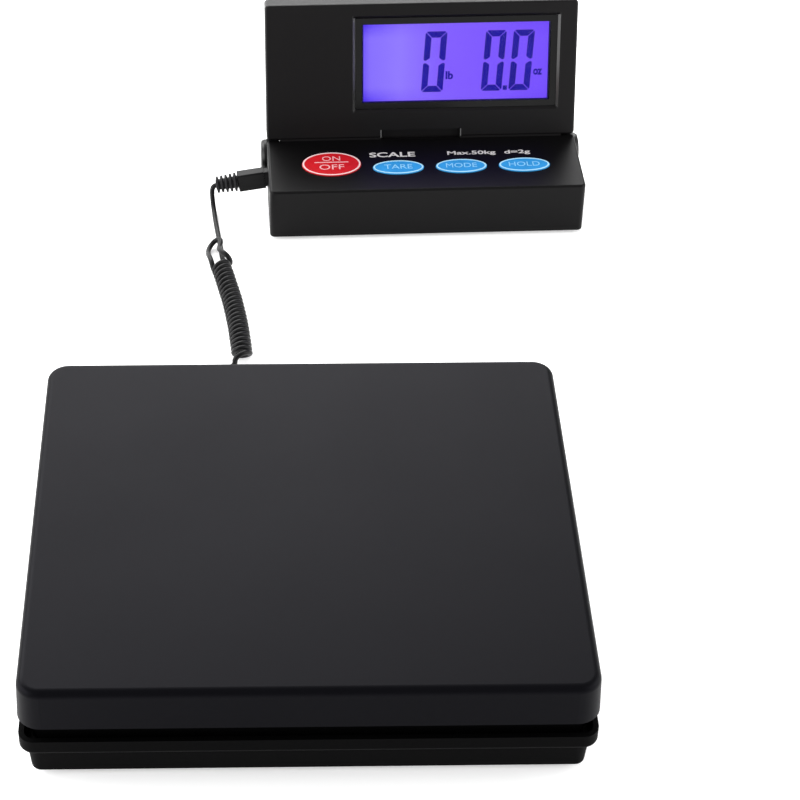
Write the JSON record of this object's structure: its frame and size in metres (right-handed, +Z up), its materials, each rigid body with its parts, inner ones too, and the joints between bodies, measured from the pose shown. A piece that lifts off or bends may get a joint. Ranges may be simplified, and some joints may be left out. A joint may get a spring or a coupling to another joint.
{
  "type": "platform shipping scale",
  "caption": "Low shipping scale: a wide flat weighing platform joined by a coiled cord to a separate keypad console with a tilting backlit display panel.",
  "frame": {"origin": "on the floor below the middle of the whole scale, measured without the cord, its plug and its glands", "axes": "+X to the user's right, +Y from the platform to the display, +Z up"},
  "size_m": [0.2942, 0.5086, 0.1092],
  "materials": {
    "cover_plastic": "satin",
    "housing_plastic": "matte",
    "pressed_steel": "zinc plated",
    "spacer_steel": "plain",
    "cell_aluminium": "machined",
    "screw_steel": "plain",
    "sealant": "soft",
    "foot_rubber": "matte",
    "gland_plastic": "matte",
    "cord_jacket": "satin",
    "clip_plastic": "matte",
    "plug_plastic": "satin",
    "socket_plastic": "gloss",
    "console_plastic": "fine texture",
    "panel_plastic": "fine texture",
    "cap_plastic": "satin",
    "pin_plastic": "matte",
    "window_clear": "clear gloss",
    "lcd_layer": "clear gloss",
    "backlight_violet": "glowing",
    "board_green": "satin",
    "mat_silicone": "matte",
    "key_red": "satin",
    "key_blue": "satin",
    "battery_can": "printed",
    "contact_spring": "nickel plated",
    "wire_jacket": "gloss"
  },
  "bodies": {
    "base": {"bracket_screws": "screw_steel", "cell_lead": "cord_jacket", "cell_screws_lower": "screw_steel", "cord_coil": "cord_jacket", "cord_gland": "gland_plastic", "cord_tail": "cord_jacket", "gauge_sealant": "sealant", "lead_clip": "clip_plastic", "load_cell": "cell_aluminium", "lower_bracket": "pressed_steel", "lower_housing": "housing_plastic", "lower_spacer": "spacer_steel", "overload_stops": "pressed_steel", "rubber_feet": "foot_rubber"},
    "platform": {"platform_cover": "cover_plastic", "upper_bracket": "pressed_steel", "upper_spacer": "spacer_steel", "cell_screws_upper": "screw_steel", "cover_screws": "screw_steel"},
    "display": {"console_top_case": "console_plastic", "console_bottom_case": "console_plastic", "console_feet": "foot_rubber", "case_screws": "screw_steel", "batteries": "battery_can", "battery_contacts": "contact_spring", "main_board": "board_green", "keypad_mat": "mat_silicone", "dc_jack": "socket_plastic", "cord_socket": "socket_plastic", "plug_body": "plug_plastic", "plug_relief": "gland_plastic", "cord_lead": "cord_jacket", "hinge_pins": "pin_plastic", "hinge_cap_left": "cap_plastic", "hinge_cap_right": "cap_plastic"},
    "panel": {"panel_front_case": "panel_plastic", "panel_rear_case": "panel_plastic", "lcd_window": "window_clear", "lcd_glass": "lcd_layer", "backlight": "backlight_violet", "lcd_board": "board_green", "panel_screws": "screw_steel", "panel_wires": "wire_jacket"},
    "on_off": {"on_off_key": "key_red"},
    "tare": {"tare_key": "key_blue"},
    "mode": {"mode_key": "key_blue"},
    "hold": {"hold_key": "key_blue"},
    "door": {"battery_door": "console_plastic"}
  },
  "joints": [
    {"name": "platform_press", "type": "slide", "parent": "base", "child": "platform", "axis": [0, 0, 1], "range_m": [-0.0008, 0], "stiffness_N_per_m": 600000, "springref_m": 0.00004, "deforming": ["load_cell"]},
    {"name": "display_reach", "type": "slide", "parent": "base", "child": "display", "axis": [0, 1, 0], "range_m": [0, 0.12], "deforming": ["cord_coil"]},
    {"name": "panel_tilt", "type": "hinge", "parent": "display", "child": "panel", "pos_m": [0.05338, 0.21708, 0.0195], "axis": [-0.9997, -0.0262, 0], "range_deg": [0, 73]},
    {"name": "on_off_press", "type": "slide", "parent": "display", "child": "on_off", "axis": [0, 0, 1], "range_m": [-0.0008, 0], "stiffness_N_per_m": 1000, "springref_m": 0.0004, "deforming": ["keypad_mat"]},
    {"name": "tare_press", "type": "slide", "parent": "display", "child": "tare", "axis": [0, 0, 1], "range_m": [-0.0008, 0], "stiffness_N_per_m": 1000, "springref_m": 0.0004, "deforming": ["keypad_mat"]},
    {"name": "mode_press", "type": "slide", "parent": "display", "child": "mode", "axis": [0, 0, 1], "range_m": [-0.0008, 0], "stiffness_N_per_m": 1000, "springref_m": 0.0004, "deforming": ["keypad_mat"]},
    {"name": "hold_press", "type": "slide", "parent": "display", "child": "hold", "axis": [0, 0, 1], "range_m": [-0.0008, 0], "stiffness_N_per_m": 1000, "springref_m": 0.0004, "deforming": ["keypad_mat"]},
    {"name": "battery_door_swing", "type": "hinge", "parent": "display", "child": "door", "pos_m": [0.08381, 0.20107, 0.0031], "axis": [0.9997, 0.0262, 0], "range_deg": [0, 75]}
  ]
}
